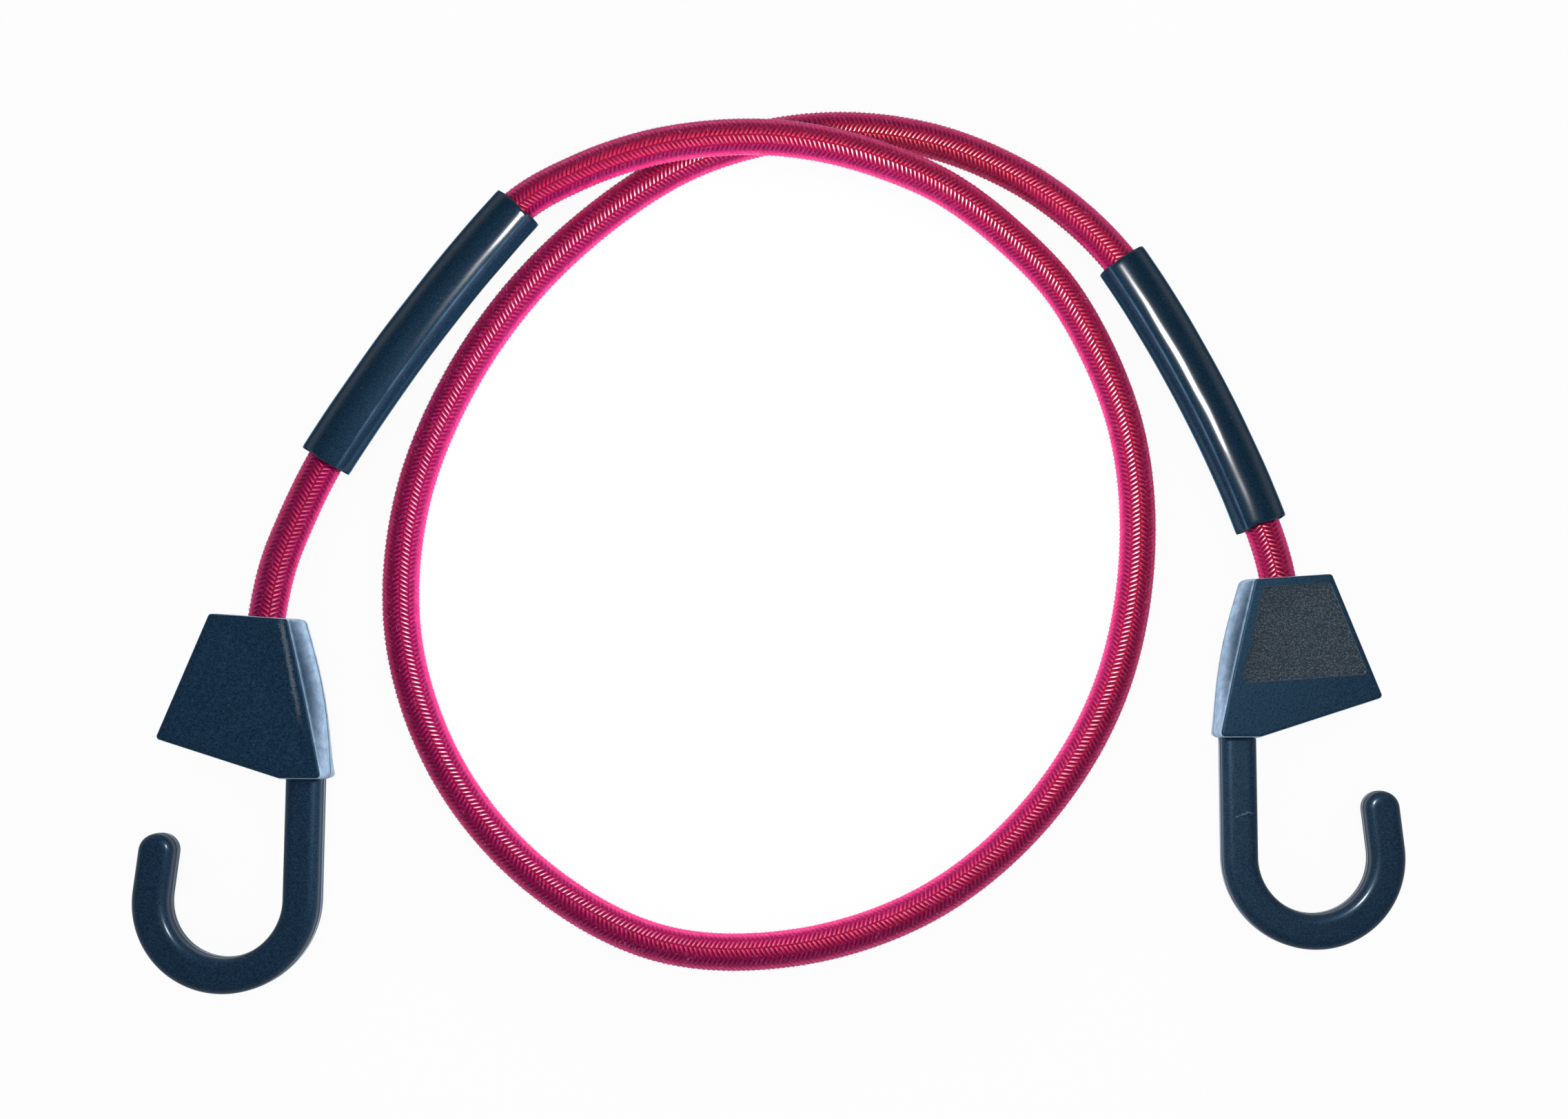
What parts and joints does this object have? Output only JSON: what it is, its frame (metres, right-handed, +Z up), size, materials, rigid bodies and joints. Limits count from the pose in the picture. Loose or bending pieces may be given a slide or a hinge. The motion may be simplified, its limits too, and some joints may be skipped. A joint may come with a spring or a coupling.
{
  "type": "tension strap",
  "caption": "Elastic tension strap: a round cord with a woven cover, a moulded J-shaped hook clamped on each end and a loose soft sleeve near each hook.",
  "frame": {"origin": "on the floor, under the middle of the box around the two hooks and the two sleeves", "axes": "+X from the left hook to the right hook, +Y from the bends of the hooks towards the cord's crossing, +Z up from the floor that the strap lies on"},
  "size_m": [0.2778, 0.1973, 0.0167],
  "materials": {
    "braid": "woven",
    "rubber_core": "matte",
    "hook_plastic": "satin",
    "sleeve_plastic": "gloss",
    "ferrule_steel": "satin"
  },
  "bodies": {
    "strap": {"cord_cover": "braid", "cord_core": "rubber_core", "hook_left": "hook_plastic", "hook_cover_left": "hook_plastic", "cord_ferrule_left": "ferrule_steel", "hook_right": "hook_plastic", "hook_cover_right": "hook_plastic", "cord_ferrule_right": "ferrule_steel"},
    "sleeve_left": {"sleeve_left": "sleeve_plastic"},
    "sleeve_right": {"sleeve_right": "sleeve_plastic"}
  },
  "joints": [
    {"name": "sleeve_left_slide", "type": "slide", "parent": "strap", "child": "sleeve_left", "axis": [0.5849, 0.8111, 0], "range_m": [-0.007, 0.0018]},
    {"name": "sleeve_right_slide", "type": "slide", "parent": "strap", "child": "sleeve_right", "axis": [0.4549, -0.8906, 0], "range_m": [-0.0035, 0.007]}
  ]
}
